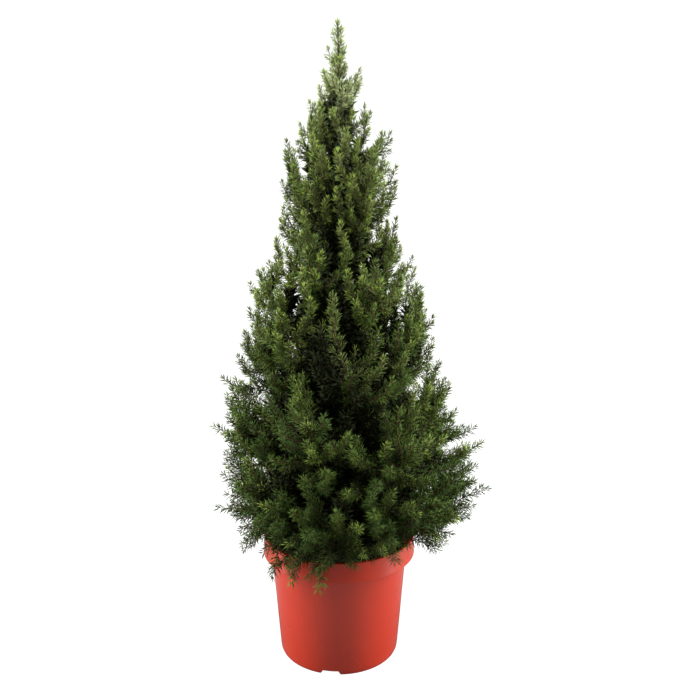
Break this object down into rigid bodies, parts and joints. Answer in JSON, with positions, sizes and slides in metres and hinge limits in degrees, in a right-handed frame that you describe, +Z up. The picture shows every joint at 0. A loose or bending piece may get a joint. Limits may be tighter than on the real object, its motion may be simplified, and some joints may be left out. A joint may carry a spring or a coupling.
{
  "type": "potted dwarf Alberta spruce",
  "caption": "Small cone-shaped evergreen conifer with dense upright needled shoots on a hidden trunk, growing in a round plastic nursery pot with a deep collar.",
  "frame": {"origin": "centre of the pot's flat underside, on the ground", "axes": "+Z up along the trunk, -Y the front, +X to the right"},
  "size_m": [0.3435, 0.2994, 0.761],
  "materials": {
    "pot": "glossy moulded red plastic",
    "soil": "dark moist potting compost",
    "bark": "rough grey-brown bark",
    "needles": "soft green conifer needles"
  },
  "bodies": {
    "root": {"bough_lower_1": "bark", "bough_lower_2": "bark", "bough_lower_3": "bark", "bough_lower_4": "bark", "bough_lower_5": "bark", "bough_lower_6": "bark", "bough_lower_7": "bark", "bough_skirt_1": "bark", "bough_skirt_2": "bark", "bough_skirt_3": "bark", "bough_skirt_4": "bark", "bough_skirt_5": "bark", "bough_skirt_6": "bark", "bough_skirt_7": "bark", "bough_skirt_8": "bark", "foliage_leader": "needles", "foliage_lower_1": "needles", "foliage_lower_2": "needles", "foliage_lower_3": "needles", "foliage_lower_4": "needles", "foliage_lower_5": "needles", "foliage_lower_6": "needles", "foliage_lower_7": "needles", "foliage_middle_1": "needles", "foliage_middle_2": "needles", "foliage_middle_3": "needles", "foliage_middle_4": "needles", "foliage_middle_5": "needles", "foliage_middle_6": "needles", "foliage_middle_7": "needles", "foliage_shoulder_1": "needles", "foliage_shoulder_2": "needles", "foliage_shoulder_3": "needles", "foliage_shoulder_4": "needles", "foliage_shoulder_5": "needles", "foliage_skirt_1": "needles", "foliage_skirt_2": "needles", "foliage_skirt_3": "needles", "foliage_skirt_4": "needles", "foliage_skirt_5": "needles", "foliage_skirt_6": "needles", "foliage_skirt_7": "needles", "foliage_skirt_8": "needles", "foliage_spire_1": "needles", "foliage_spire_2": "needles", "foliage_spire_3": "needles", "foliage_spire_4": "needles", "foliage_spire_5": "needles", "foliage_upper_1": "needles", "foliage_upper_2": "needles", "foliage_upper_3": "needles", "foliage_upper_4": "needles", "foliage_upper_5": "needles", "foliage_upper_6": "needles", "pot": "pot", "soil": "soil", "trunk": "bark"}
  },
  "joints": []
}
